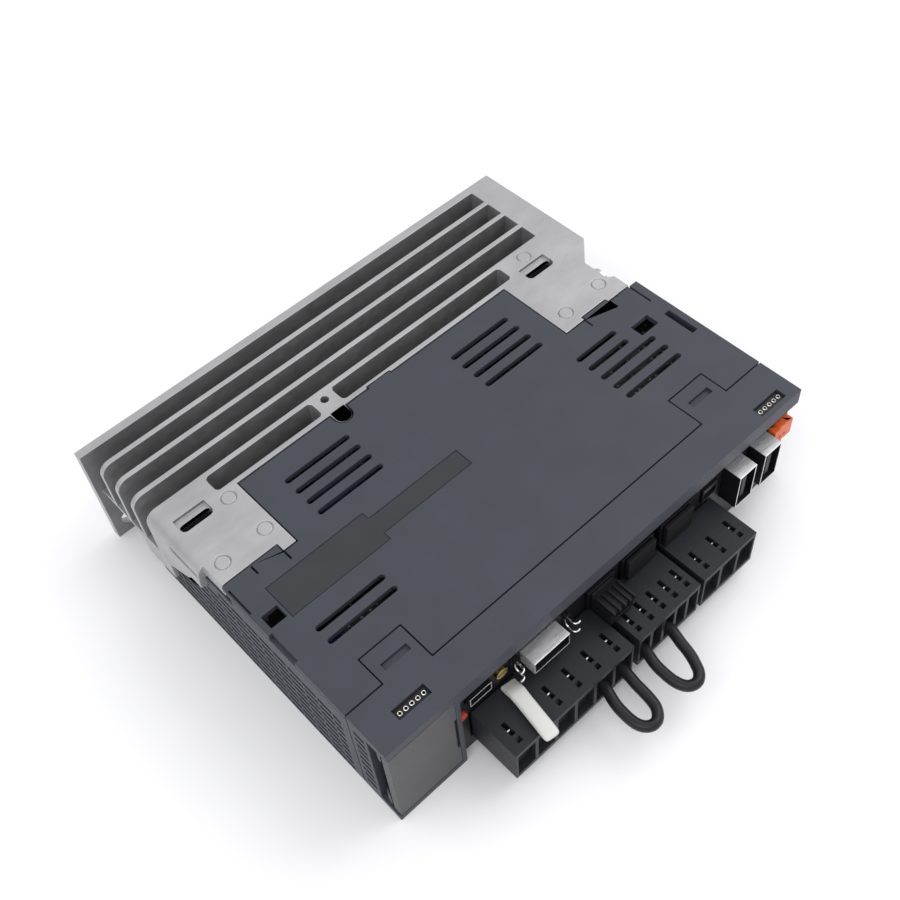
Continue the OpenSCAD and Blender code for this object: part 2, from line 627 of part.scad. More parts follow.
// ---------------------------------------------------------------- signal connectors
module usb_socket() {
    color("silver") union() {
        difference() {
            block([-52, -44.2], [-67.4, -58], [27, 31]);
            block([-51.6, -44.6], [-68, -60], [27.4, 30.6]);
        }
        block([-52, -44.2], [-58.1, -54], [27, control_z]);
        block([-50.2, -46], [-66, -59], [28.6, 29.4]);
    }
}
module io_shell() {
    color("silver") difference() {
        union() {
            block(io_x, [shell_front, -58], io_z);
            block([-31, -21], [-58.1, -54], [28, control_z]);
        }
        block([io_x[0] + 0.5, io_x[1] - 0.5], [shell_front - 1, -59], [io_z[0] + 0.5, io_z[1] - 0.5]);
    }
}
module connector_inserts() {
    flange_z = [io_z[0] - 0.9, io_z[1] + 1.1];
    color([0.1, 0.1, 0.1]) {
        difference() {
            union() {
                block([io_x[0] + 0.6, io_x[1] - 0.6], [-64, -59], [io_z[0] + 0.6, io_z[1] - 0.6]);
                block([io_x[0] + 1.6, io_x[1] - 1.6], [-70, -64], [26.6, 28]);
            }
            for (k = [0:8])
                block([io_x[0] + 2.2 + k * 1.1, io_x[0] + 2.6 + k * 1.1], [-71, -65], [27.8, 29]);
        }
        // flange behind the shell, with the ears that hold the wire latches
        difference() {
            union() {
                block([latch_x[0] - 1, latch_x[1] + 1], [-66.2, panel_y], flange_z);
                for (x = latch_x) for (z = [[flange_z[0], io_z[0] - 0.2], [io_z[1] + 0.4, flange_z[1]]])
                    block([x - 1, x + 1], [latch_y - 1, -66], z);
            }
            block([io_x[0] - 0.1, io_x[1] + 0.1], [-70, -60], [io_z[0] - 0.1, io_z[1] + 0.1]);
            for (x = latch_x) rod_z([x, latch_y, 20], latch_d + 0.1, 14);
        }
        for (x = encoder_x) union() {
            block([x + 0.6, x + encoder_w - 0.6], [-66, -57], [encoder_z[0] + 0.6, encoder_z[1] - 0.6]);
            block([x + 2.9, x + 4.7], [-70.6, -65.9], [encoder_z[0] + 2, encoder_z[1] - 2]);
        }
    }
}
// Bent wire latch beside the input and output connector; s is the side that it bends to
module io_latch(x, s) {
    top = io_z[1] - 0.4;
    low = io_z[0] + 0.6;
    color("whitesmoke") union() {
        rod_z([x, latch_y, io_z[0] - 0.9], latch_d, io_z[1] - io_z[0] + 2);
        for (z = [low, top]) {
            rod_y([x, -70.7, z], latch_d, 70.7 + latch_y);
            rod_x([s > 0 ? x - 0.4 : x - 1.7, -70.7, z], latch_d, 2.1);
        }
    }
}
module safety_socket() {
    color([0.12, 0.12, 0.13]) difference() {
        union() {
            block([-6.8, 3.8], [-66.5, -52], [20.4, 28.8]);
            block([-6, 3], [-56, -52], [28.7, control_z]);
        }
        block([-5.8, 2.8], [-70, -56], [21.2, 27.8]);
    }
}
module shorting_plug() {
    color([0.1, 0.1, 0.11]) difference() {
        union() {
            block([-5.5, 2.5], [-66.8, -57], [21.5, 27.5]);
            block([-6, 3], [-74.5, -66.8], [21.1, 27.2]);
            for (x = [-6, -3.9, -1.8, 0.3, 2.1]) block([x, x + 0.9], [-75.4, -68.5], [26.4, 28]);
        }
        block([-4.4, 1.4], [-75, -70], [22.4, 25]);
        for (k = [0:3]) for (z = [23, 26])
            block([-4.6 + k * 2, -4 + k * 2], [-62, -56], [z - 0.3, z + 0.3]);
    }
}
module optical_sockets() {
    color([0.13, 0.14, 0.16]) for (x = optical_x) difference() {
        union() {
            block([x, x + optical_w], [-66.4, -50], [20.4, 30.2]);
            block([x + 1, x + optical_w - 1], [-62.5, -50], [30.1, control_z]);
        }
        block([x + 1.2, x + optical_w - 1.2], [-70, -58], [21.8, 29.4]);
        for (d = [-3, 3]) rod_y([x + optical_w / 2 + d, -59, 25.6], 2.6, 6);
    }
}
module optical_cap(x) {
    color([0.08, 0.08, 0.09]) union() {
        block([x + 1.6, x + optical_w - 1.6], [-66.8, -59], [22.2, 29]);
        block([x + 0.8, x + optical_w - 0.8], [-68.2, -66.7], [21, 30]);
    }
}
module small_headers() {
    // nylon headers of the monitor outputs and of the battery
    color("lightgray") {
        difference() {
            union() {
                block([41.6, 48.4], [-66.3, -55], [22.3, 28.2]);
                block([42, 48], [-57, -53], [28.1, control_z]);
            }
            block([42.4, 47.6], [-68, -58], [23.1, 26.4]);
        }
        difference() {
            union() {
                block([71.2, 78.4], [-64.8, -54], [23.6, 30.6]);
                block([72, 78], [-56, -52], [30.5, control_z]);
            }
            block([72.2, 77.4], [-70, -56], [24.6, 29.6]);
        }
    }
}
module encoder_shells() {
    color("silver") for (x = encoder_x) difference() {
        union() {
            block([x, x + encoder_w], [shell_front, -56], encoder_z);
            block([x + 1, x + encoder_w - 1], [-57, -54], [encoder_z[1] - 0.1, control_z]);
        }
        block([x + 0.5, x + encoder_w - 0.5], [shell_front - 1, -57],
            [encoder_z[0] + 0.5, encoder_z[1] - 0.5]);
    }
}
module battery_plug() {
    color("orangered") difference() {
        union() {
            block([72.5, 77.1], [-66, -57], [24.9, 29.3]);
            block([70.9, 79.3], [-68.6, -65.9], [24.2, 30.8]);
            block([73, 76.6], [-68.6, -66.2], [30.8, 31.6]);
        }
        for (x = [73.4, 75.4]) block([x, x + 0.9], [-70, -56], [26, 26.9]);
    }
}
module service_headers() {
    // white five-way headers under the two windows of the front cover
    legs = [[-57.2, 36.2], [-56, control_z + pcb_t]];   // rear end and foot of each header's leg
    color("whitesmoke") for (i = [0, 1]) {
        w = service_at[i];
        difference() {
            union() {
                block([w[0] + 0.2, w[0] + 10.6], [w[1] + 0.2, w[1] + 3.2], [36.2, 41]);
                block([w[0] + 0.2, w[0] + 10.6], [w[1] + 3, legs[i][0]], [36.2, 37.8]);
                block([w[0] + 0.2, w[0] + 10.6], [legs[i][0], legs[i][0] + i * 2], [legs[i][1], 37.8]);
            }
            for (k = [0:4]) rod_z([w[0] + 1.4 + k * 2, w[1] + 1.7, 38], 1.4, 5);
        }
    }
}

// ---------------------------------------------------------------- fasteners
// Pan-head M3 screw whose shank points up
module m3_screw(l) {
    difference() {
        union() {
            translate([0, 0, -1.8]) cylinder(d = 5.4, h = 1.8);
            translate([0, 0, -eps]) cylinder(d = 3 - 0.04, h = l + eps);
        }
        translate([-2, -0.4, -2]) cube([4, 0.8, 0.9]);
        translate([-0.4, -2, -2]) cube([0.8, 4, 0.9]);
    }
}
module m3_screws() {
    color("gray") {
        for (p = post_at) translate([p[0], p[1], 2.1]) m3_screw(6);
        for (x = module_screw_x)
            translate([x, module_screw_y, channel_floor - web_t - 6.9]) m3_screw(9);
        for (p = standoff_at)
            translate([p[0], p[1], control_z + pcb_t]) mirror([0, 0, 1]) m3_screw(6);
    }
}
module earth_screws() {
    // the two M4 screws of the protective earth terminals
    color("silver") for (z = earth_z) difference() {
        union() {
            rod_x([76, earth_y, z], 7.4, 2.6);
            rod_x([69.5, earth_y, z], 3.96, 7);
        }
        block([77.6, 79], [earth_y - 3, earth_y + 3], [z - 0.5, z + 0.5]);
        block([77.6, 79], [earth_y - 0.5, earth_y + 0.5], [z - 3, z + 3]);
    }
}
module panel_screw() {
    color("goldenrod") difference() {
        union() {
            rod_y([-40, panel_y - 1.4, 29], 4, 1.4);
            rod_y([-40, panel_y - 0.1, 29], 2.6, 6);
        }
        block([-41.6, -38.4], [panel_y - 2, panel_y - 0.8], [28.7, 29.3]);
    }
}

heatsink();
rear_casing();
right_cover();
front_cover();
display_door();
door_pins();
power_board();
control_board();
display_board();
board_link();
standoffs();
power_module();
thermal_pad();
module_pins();
bus_capacitors();
film_capacitors();
inrush_relay();
filter_choke();
supply_transformer();
control_chips();
power_header(0);  // power_header_1
power_header(1);  // power_header_2
power_header(2);  // power_header_3
header_blades();
power_plug(0);  // power_plug_1
power_plug(1);  // power_plug_2
power_plug(2);  // power_plug_3
plug_contacts(0);  // plug_contacts_1
plug_contacts(1);  // plug_contacts_2
plug_contacts(2);  // plug_contacts_3
jumper(route_1);  // jumper_1
jumper(route_2);  // jumper_2
opening_lever();
usb_socket();
io_shell();
connector_inserts();
io_latch(latch_x[0], -1);  // io_latch_top
io_latch(latch_x[1], 1);  // io_latch_bottom
safety_socket();
shorting_plug();
optical_sockets();
optical_cap(optical_x[0]);  // optical_cap_1
optical_cap(optical_x[1]);  // optical_cap_2
small_headers();
encoder_shells();
battery_plug();
service_headers();
display_module();
selector_body();
selector_knob();
dip_body();
dip_lever(0);  // dip_lever_1
dip_lever(1);  // dip_lever_2
dip_lever(2);  // dip_lever_3
dip_lever(3);  // dip_lever_4
charge_lamp();
rating_plate();
m3_screws();
earth_screws();
panel_screw();
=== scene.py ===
"""Looks of the servo drive: materials, rounded edges, cords, fine details, light and camera.

The drive lies on its left side. +X runs to its bottom end, +Y to its mounting face, +Z to its right side.
Lengths in this script are millimetres unless a name ends in _m or _M.
"""

import json
import math

import bmesh
import bpy
from mathutils import Matrix, Vector


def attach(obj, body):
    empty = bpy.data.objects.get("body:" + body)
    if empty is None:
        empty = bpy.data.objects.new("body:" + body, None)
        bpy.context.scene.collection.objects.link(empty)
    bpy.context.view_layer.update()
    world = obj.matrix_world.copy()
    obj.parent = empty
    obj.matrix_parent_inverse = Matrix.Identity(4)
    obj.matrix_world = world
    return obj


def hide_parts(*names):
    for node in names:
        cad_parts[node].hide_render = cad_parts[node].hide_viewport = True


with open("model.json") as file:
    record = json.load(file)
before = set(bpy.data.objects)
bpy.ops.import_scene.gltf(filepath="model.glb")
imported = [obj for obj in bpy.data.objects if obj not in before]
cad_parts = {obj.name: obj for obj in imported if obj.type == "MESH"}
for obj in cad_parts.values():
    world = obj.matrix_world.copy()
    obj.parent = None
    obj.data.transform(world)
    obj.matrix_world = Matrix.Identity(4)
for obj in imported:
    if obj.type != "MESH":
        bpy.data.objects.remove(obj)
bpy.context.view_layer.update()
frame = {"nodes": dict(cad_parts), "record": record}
NODES = frame["nodes"]

MM = 0.001
# The body that each CAD node rides on, and the record's material slot of each.
BODY_OF = {node: body for body, members in frame["record"]["behaviour"]["bodies"].items() for node in members}
SLOT_OF = {part["node"]: part["material_slot"] for part in frame["record"]["subparts"]}

# ------------------------------------------------------------------ camera
CAMERA_AT_M = (-0.134385, -0.176607, 0.317451)
CAMERA_AZIMUTH = math.radians(-37.83)
CAMERA_ELEVATION = math.radians(52.71)
CAMERA_ROLL = math.radians(-6.226)
CAMERA_LENS = 48.34
CAMERA_SENSOR = 36
CAMERA_NEAR_M = 0.01


def aim_camera():
    """The camera's place and turn, fitted to the outline of the drive."""
    data = bpy.data.cameras.new("camera")
    data.lens = CAMERA_LENS
    data.sensor_width = CAMERA_SENSOR
    data.clip_start = CAMERA_NEAR_M
    camera = bpy.data.objects.new("camera", data)
    bpy.context.scene.collection.objects.link(camera)
    az, el, roll = CAMERA_AZIMUTH, CAMERA_ELEVATION, CAMERA_ROLL
    back = Vector((math.sin(az) * math.cos(el), -math.cos(az) * math.cos(el), math.sin(el)))
    right = Vector((math.cos(az), math.sin(az), 0))
    up = back.cross(right)
    side = right * math.cos(roll) + up * math.sin(roll)
    top = up * math.cos(roll) - right * math.sin(roll)
    camera.matrix_world = Matrix((
        (side.x, top.x, back.x, CAMERA_AT_M[0]),
        (side.y, top.y, back.y, CAMERA_AT_M[1]),
        (side.z, top.z, back.z, CAMERA_AT_M[2]),
        (0, 0, 0, 1),
    ))
    bpy.context.scene.camera = camera


aim_camera()


# ------------------------------------------------------------------ materials
class Shader:
    """A small helper that builds one procedural material."""

    def __init__(self, name):
        self.material = bpy.data.materials.new(name)
        self.material.use_nodes = True
        self.tree = self.material.node_tree
        self.surface = self.tree.nodes["Principled BSDF"]
        self.place = self.node("ShaderNodeTexCoord").outputs["Object"]

    def node(self, kind, **settings):
        """Add a shader node and set its properties."""
        made = self.tree.nodes.new(kind)
        for key, value in settings.items():
            setattr(made, key, value)
        return made

    def link(self, source, target):
        self.tree.links.new(source, target)

    def set(self, **values):
        """Set sockets of the surface shader; an underscore in a name stands for a space."""
        for key, value in values.items():
            self.surface.inputs[key.replace("_", " ")].default_value = value
        return self

    def noise(self, size, detail=3, roughness=0.55, stretch=(1, 1, 1)):
        """Noise whose blobs are about size millimetres across."""
        mapping = self.node("ShaderNodeMapping")
        mapping.inputs["Scale"].default_value = stretch
        self.link(self.place, mapping.inputs["Vector"])
        made = self.node("ShaderNodeTexNoise")
        made.inputs["Scale"].default_value = 1 / (size * MM)
        made.inputs["Detail"].default_value = detail
        made.inputs["Roughness"].default_value = roughness
        self.link(mapping.outputs["Vector"], made.inputs["Vector"])
        return made.outputs["Fac"]

    def cells(self, size, feature="F1"):
        """Distance inside cells about size millimetres across."""
        made = self.node("ShaderNodeTexVoronoi", feature=feature)
        made.inputs["Scale"].default_value = 1 / (size * MM)
        self.link(self.place, made.inputs["Vector"])
        return made.outputs["Distance"]

    def ramp(self, factor, *stops):
        """A colour ramp with (position, colour) stops; a plain number is a grey."""
        made = self.node("ShaderNodeValToRGB")
        marks = made.color_ramp.elements
        while len(marks) < len(stops):
            marks.new(0.5)
        for mark, (at, value) in zip(marks, stops):
            mark.position = at
            grey = (value, value, value) if isinstance(value, (int, float)) else value
            mark.color = (*grey, 1)
        self.link(factor, made.inputs["Fac"])
        return made.outputs["Color"]

    def colour(self, factor, low, high, at=(0.3, 0.7)):
        """Base colour that runs from low to high with factor."""
        self.link(self.ramp(factor, (at[0], low), (at[1], high)), self.surface.inputs["Base Color"])
        return self

    def roughness(self, factor, low, high):
        """Roughness that runs from low to high with factor."""
        self.link(self.ramp(factor, (0.3, low), (0.7, high)), self.surface.inputs["Roughness"])
        return self

    def bump(self, *layers):
        """Bumps laid over each other; each layer is (height, depth in millimetres)."""
        last = None
        for height, depth in layers:
            made = self.node("ShaderNodeBump")
            made.inputs["Strength"].default_value = 1
            made.inputs["Distance"].default_value = depth * MM
            self.link(height, made.inputs["Height"])
            if last:
                self.link(last, made.inputs["Normal"])
            last = made.outputs["Normal"]
        self.link(last, self.surface.inputs["Normal"])
        return self


def shade(colour, factor):
    """A lighter or darker colour."""
    return tuple(min(1, c * factor) for c in colour)


def moulded(name, colour, rough=0.5, grain=0.35, depth=0.02, spread=0.06):
    """Moulded plastic with a fine spark-eroded grain and faint cloudy variation."""
    look = Shader(name)
    cloud = look.noise(14, detail=2)
    fine = look.noise(grain, detail=2)
    look.colour(cloud, shade(colour, 1 - spread), shade(colour, 1 + spread))
    look.roughness(fine, rough - 0.07, rough + 0.07)
    look.bump((fine, depth), (look.cells(grain * 1.6), depth * 0.6))
    look.set(Specular_IOR_Level=0.3)
    return look


def cast_aluminium(name="cast_aluminium", tone=0.45, rough=0.5):
    """Die-cast aluminium: satin skin, faint flow marks, small pits."""
    look = Shader(name)
    flow = look.noise(9, detail=4, stretch=(0.5, 1, 1))
    skin = look.noise(0.5, detail=3)
    grey = (tone, tone, tone * 1.01)
    look.colour(flow, shade(grey, 0.86), shade(grey, 1.1), at=(0.25, 0.75))
    look.roughness(look.noise(3, detail=4), rough - 0.08, rough + 0.1)
    look.bump((skin, 0.035), (look.noise(2.2, detail=3), 0.05), (look.cells(1.4), 0.015))
    look.set(Metallic=0.8)
    return look


def plated(name, colour, rough, metallic=1.0):
    """Bright plated sheet or wire with faint rolling marks."""
    wave = 0.01
    look = Shader(name)
    brushed = look.noise(0.9, detail=3, stretch=(0.12, 1, 1))
    look.colour(look.noise(5), shade(colour, 0.92), shade(colour, 1.05))
    look.roughness(brushed, max(0.04, rough - 0.06), rough + 0.08)
    look.bump((look.noise(3.5, detail=2), wave), (brushed, wave * 0.4))
    look.set(Metallic=metallic)
    return look


def board():
    """Green solder mask darkened to near black as painted shade inside the case, with traces under it and
    small tinned joints on it.
    """
    # The mask and trace colours are darkened to near black as painted shade inside the case.
    mask, trace, tin = (0.004, 0.016, 0.010), (0.007, 0.030, 0.018), (0.20, 0.20, 0.19)
    look = Shader("board")
    tracks = look.ramp(look.cells(2.6, feature="DISTANCE_TO_EDGE"), (0.02, mask), (0.06, trace))
    dots = look.ramp(look.cells(1.7), (0.22, 1), (0.30, 0))
    mix = look.node("ShaderNodeMix", data_type="RGBA")
    # A colour mix has its factor at 0, its two colours at 6 and 7, and its result at 2.
    look.link(dots, mix.inputs[0])
    look.link(tracks, mix.inputs[6])
    mix.inputs[7].default_value = (*tin, 1)
    look.link(mix.outputs[2], look.surface.inputs["Base Color"])
    look.roughness(look.noise(2), 0.25, 0.4)
    look.bump((dots, 0.12))
    return look


def clear_lens(name, colour):
    """Smooth glossy glass, lens or sleeve."""
    look = Shader(name)
    look.colour(look.noise(2), shade(colour, 0.8), shade(colour, 1.1))
    look.roughness(look.noise(1), 0.08, 0.16)
    look.bump((look.noise(1.5), 0.01))
    look.set(Coat_Weight=0.6)
    return look


CASE = (0.048, 0.051, 0.065)
MATERIALS = {
    "cast_aluminium": cast_aluminium(),
    "case_plastic": moulded("case_plastic", CASE, rough=0.50, grain=0.4, depth=0.02),
    "door_plastic": moulded("door_plastic", (0.072, 0.073, 0.076), rough=0.48, grain=0.4, depth=0.02),
    "connector_plastic": moulded("connector_plastic", (0.016, 0.017, 0.021), grain=0.5, depth=0.03),
    "black_plastic": moulded("black_plastic", (0.008, 0.008, 0.010), rough=0.42, grain=0.4, depth=0.02),
    "wire_insulation": moulded("wire_insulation", (0.012, 0.012, 0.014), rough=0.36, grain=1.2, depth=0.03),
    "cap_rubber": moulded("cap_rubber", (0.005, 0.005, 0.006), rough=0.7, grain=0.3, depth=0.02),
    "lever_plastic": moulded("lever_plastic", (0.66, 0.66, 0.63), 0.4, grain=0.7, depth=0.04, spread=0.03),
    "white_plastic": moulded("white_plastic", (0.70, 0.70, 0.67), rough=0.35, grain=0.3, depth=0.01),
    "orange_plastic": moulded("orange_plastic", (0.68, 0.11, 0.02), rough=0.34, grain=0.5, depth=0.02),
    "header_plastic": moulded("header_plastic", (0.50, 0.49, 0.45), rough=0.42, grain=0.4, depth=0.02),
    "connector_shell": plated("connector_shell", (0.80, 0.80, 0.81), rough=0.3, metallic=0.75),
    "latch_wire": plated("latch_wire", (0.85, 0.85, 0.86), rough=0.14),
    "steel": plated("steel", (0.60, 0.60, 0.61), rough=0.28),
    "brass": plated("brass", (0.78, 0.56, 0.20), rough=0.22),
    "tinned_pins": plated("tinned_pins", (0.74, 0.73, 0.70), rough=0.2),
    "pcb": board(),
    "thermal_pad": moulded("thermal_pad", (0.5, 0.52, 0.56), rough=0.7),
    "capacitor_sleeve": clear_lens("capacitor_sleeve", (0.02, 0.02, 0.06)),
    "film_capacitor": moulded("film_capacitor", (0.55, 0.36, 0.08), rough=0.35),
    "relay_case": moulded("relay_case", (0.03, 0.08, 0.30), rough=0.35),
    "ferrite": moulded("ferrite", (0.05, 0.045, 0.045), rough=0.6, grain=0.8, depth=0.05),
    "display_glass": clear_lens("display_glass", (0.05, 0.008, 0.008)),
    "lamp_lens": clear_lens("lamp_lens", (0.70, 0.08, 0.03)),
    "label_field": moulded("label_field", (0.033, 0.034, 0.040), rough=0.5, grain=0.5, depth=0.01),
}
# Darker aluminium for the deep channels between the fins: painted shade, not a different skin.
CHANNEL_SHADE_LOOK = cast_aluminium("channel_painted_shade", tone=0.30, rough=0.6)


def paint(piece, slot):
    """Give a piece the material of one of the record's slots."""
    piece.data.materials.clear()
    piece.data.materials.append(MATERIALS[slot].material)
    return piece


# ------------------------------------------------------------------ pieces
def link_piece(name, mesh, body, slot):
    """Put a mesh in the scene as a piece that rides on a body."""
    piece = bpy.data.objects.new(name, mesh)
    bpy.context.scene.collection.objects.link(piece)
    paint(piece, slot)
    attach(piece, body)
    return piece


EDGE_ANGLE = 35
FLAT_ANGLE = 0.6


def soften(piece, width):
    """Round the sharp edges of a piece by width millimetres and keep its flat faces flat."""
    for face in piece.data.polygons:
        face.use_smooth = True
    edge = piece.modifiers.new("soft_edges", "BEVEL")
    edge.width = width * MM
    edge.segments = 2
    edge.limit_method = "ANGLE"
    edge.angle_limit = math.radians(EDGE_ANGLE)
    edge.use_clamp_overlap = False
    flat = piece.modifiers.new("flat_faces", "WEIGHTED_NORMAL")
    flat.mode = "FACE_AREA"
    flat.weight = 100
    flat.keep_sharp = True
    return piece


def rounded(node, width):
    """Stand in for a CAD node with the same solid and rounded edges."""
    shape = bmesh.new()
    shape.from_mesh(NODES[node].data)
    bmesh.ops.remove_doubles(shape, verts=shape.verts, dist=1e-6)
    bmesh.ops.dissolve_limit(
        shape, angle_limit=math.radians(FLAT_ANGLE), verts=shape.verts, edges=shape.edges, delimit={"NORMAL"}
    )
    mesh = bpy.data.meshes.new(node + "_rounded")
    shape.to_mesh(mesh)
    shape.free()
    piece = link_piece(node + "_rounded", mesh, BODY_OF[node], SLOT_OF[node])
    soften(piece, width)
    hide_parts(node)
    return piece


def paint_shade_faces(piece, shade_material, chosen):
    """Give another material to the faces for which chosen(centre in millimetres, normal) is true; here it
    paints shade.
    """
    piece.data.materials.append(shade_material.material)
    number = len(piece.data.materials) - 1
    for face in piece.data.polygons:
        if chosen(face.center / MM, face.normal):
            face.material_index = number


def wire(name, points, diameter, body, slot, node=None):
    """A round wire whose centre line runs smoothly through points in millimetres."""
    curve = bpy.data.curves.new(name, "CURVE")
    curve.dimensions = "3D"
    curve.bevel_depth = diameter * MM / 2
    curve.bevel_resolution = 5
    curve.resolution_u = 6
    curve.use_fill_caps = True
    line = curve.splines.new("BEZIER")
    line.bezier_points.add(len(points) - 1)
    for knot, point in zip(line.bezier_points, points):
        knot.co = Vector(point) * MM
        knot.handle_left_type = "AUTO"
        knot.handle_right_type = "AUTO"
    piece = bpy.data.objects.new(name, curve)
    bpy.context.scene.collection.objects.link(piece)
    paint(piece, slot)
    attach(piece, body)
    if node:
        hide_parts(node)
    return piece


# ------------------------------------------------------------------ cords
# The two insulated jumpers of the power plugs, as (x, y) along their centre lines.
WIRE_Z = 11.5
WIRE_D = 3.4
ROUTES = {
    "jumper_1": ((-17.15, -76), (-17.15, -80), (-17.15, -83), (-17.9, -85.6), (-18.75, -88.4), (-19.2, -92),
                 (-19.2, -95), (-18.8, -96.9), (-17.9, -98.4), (-16.7, -99.3), (-15.3, -99.6), (-13.9, -99.2),
                 (-12.7, -98.2), (-11.7, -96.7), (-11.1, -94.6), (-10.7, -91.5), (-10.4, -88.2),
                 (-9.95, -85.4), (-9.65, -83), (-9.65, -80), (-9.65, -76)),
    "jumper_2": ((-0.8, -76), (-0.8, -80), (-0.8, -83), (-1.5, -85.5), (-2.2, -88.2), (-2.5, -92),
                 (-2.3, -95.3), (-1.7, -97.3), (-0.7, -98.7), (0.5, -99.4), (1.9, -99.6), (3.2, -99.1),
                 (4.4, -98.1), (5.7, -95.8), (7, -92.5), (7.9, -88.6), (8.8, -85.4), (9.2, -83),
                 (9.2, -80), (9.2, -76)),
}


def lay_jumper(node):
    """A jumper as a smooth wire along its route."""
    points = [(x, y, WIRE_Z) for x, y in ROUTES[node]]
    piece = wire(node + "_wire", points, WIRE_D, BODY_OF[node], "wire_insulation", node)


for jumper in ROUTES:
    lay_jumper(jumper)


# ------------------------------------------------------------------ rounded CAD shapes
# CAD nodes that get rounded stand-ins, with the rounding in millimetres.
EDGE_ROUNDING = {
    "heatsink": 0.25,
    "rear_casing": 0.1,
    "right_cover": 0.15,
    "front_cover": 0.15,
    "display_door": 0.3,
    "power_plug_1": 0.1,
    "power_plug_2": 0.1,
    "power_plug_3": 0.1,
    "shorting_plug": 0.15,
    "safety_socket": 0.15,
    "optical_sockets": 0.15,
    "optical_cap_1": 0.3,
    "optical_cap_2": 0.3,
    "small_headers": 0.15,
    "battery_plug": 0.25,
    "encoder_shells": 0.2,
    "io_shell": 0.2,
    "usb_socket": 0.15,
    "selector_knob": 0.15,
}
softened = {name: rounded(name, width) for name, width in EDGE_ROUNDING.items()}

for node_name, cad_piece in NODES.items():
    paint(cad_piece, SLOT_OF[node_name])


# Limits of the faces that get painted shade, in millimetres.
CHANNEL_Y = (25.6, 64.6)
CHANNEL_X = (-81, 83)
CHANNEL_TOP = 41.5
PANEL_Y = (-66.5, -50)
PANEL_TOP = 35.9
PANEL_START_X = -57
ENCODER_TOP = 29.9
ENCODER_BACK = -57.5
IO_X = (-32.2, -19.6)
IO_Z = (24.9, 29.6)
IO_BACK = -58.5
USB_LIP_Y = -67


def in_channel_shade(at, normal):
    """The floors and long walls between the fins, which get darker aluminium as painted shade."""
    deep = CHANNEL_Y[0] < at.y < CHANNEL_Y[1] and at.z < CHANNEL_TOP
    return deep and abs(normal.x) < 0.5 and CHANNEL_X[0] < at.x < CHANNEL_X[1]


def on_shaded_panel(at, normal):
    """The front panel round the connectors, which lies behind the cover's edge; its faces are painted black
    as painted shade of that recess.
    """
    deep = PANEL_Y[0] < at.y < PANEL_Y[1] and at.z < PANEL_TOP
    return deep and at.x > PANEL_START_X and abs(normal.x) < 0.9


def encoder_shell_shade(at, normal):
    """The inner faces and narrow sides of the metal encoder shells, painted black: painted shade inside and a
    painted dark reflection on the narrow sides.
    """
    bright = normal.y <= -0.5 or (normal.z > 0.5 and at.z > ENCODER_TOP)
    return not bright and at.y < ENCODER_BACK


def io_shell_shade(at, normal):
    """The inside of the input and output connector's shell, painted black as painted shade."""
    across = IO_X[0] < at.x < IO_X[1] and IO_Z[0] < at.z < IO_Z[1]
    return across and normal.y > -0.5 and at.y < IO_BACK


def usb_socket_shade(at, normal):
    """All of the USB socket but its bright lip, painted black as painted shade in the recess."""
    return normal.y > -0.5 or at.y > USB_LIP_Y


# Painted shade: darker aluminium in the fin channels, and black on connector faces that lie in shade.
paint_shade_faces(softened["heatsink"], CHANNEL_SHADE_LOOK, in_channel_shade)
paint_shade_faces(softened["front_cover"], MATERIALS["black_plastic"], on_shaded_panel)
paint_shade_faces(softened["encoder_shells"], MATERIALS["black_plastic"], encoder_shell_shade)
paint_shade_faces(softened["io_shell"], MATERIALS["black_plastic"], io_shell_shade)
paint_shade_faces(softened["usb_socket"], MATERIALS["black_plastic"], usb_socket_shade)


# ------------------------------------------------------------------ fine details
def turned(shape, profile, centre, steps=24):
    """Add a ring turned round the Z axis; profile is a closed loop of (radius, height)."""
    loops = []
    for k in range(steps):
        turn = 2 * math.pi * k / steps
        loops.append([
            shape.verts.new(((centre[0] + r * math.cos(turn)) * MM, (centre[1] + r * math.sin(turn)) * MM,
                             (centre[2] + h) * MM))
            for r, h in profile
        ])
    count = len(profile)
    for k in range(steps):
        here, there = loops[k], loops[(k + 1) % steps]
        for j in range(count):
            shape.faces.new((here[j], there[j], there[(j + 1) % count], here[(j + 1) % count]))


def finish_mesh(shape, name, body, slot):
    """Close a bmesh and make it a piece."""
    bmesh.ops.recalc_face_normals(shape, faces=shape.faces)
    mesh = bpy.data.meshes.new(name)
    shape.to_mesh(mesh)
    shape.free()
    return link_piece(name, mesh, body, slot)


# Corners of the two header windows, and a header's first contact seen from its corner.
SERVICE_AT = ((-71, -63.2), (65.3, -66.2))
FIRST_CONTACT = (1.4, 1.7)
HEADER_POLES = 5
HEADER_PITCH = 2
RING_FLOOR = 41.02
RING_PROFILE = ((0.42, 0), (0.42, 0.25), (0.55, 0.32), (0.72, 0.2), (0.72, 0))


def header_rings():
    """Ring-shaped contacts in the two header windows."""
    shape = bmesh.new()
    for corner_x, corner_y in SERVICE_AT:
        for k in range(HEADER_POLES):
            x = corner_x + FIRST_CONTACT[0] + HEADER_PITCH * k
            turned(shape, RING_PROFILE, (x, corner_y + FIRST_CONTACT[1], RING_FLOOR))
    finish_mesh(shape, "header_rings", "drive", "tinned_pins")


header_rings()


# A contact spring: where it starts and how long it runs along Y, and its height, rise, half width and sheet.
SPRING_Y = -77.3
SPRING_RUN = 2.6
SPRING_Z = 16.6
SPRING_RISE = 2.6
SPRING_HALF = 0.5
SPRING_SHEET = 0.25
SPRING_STEPS = 8


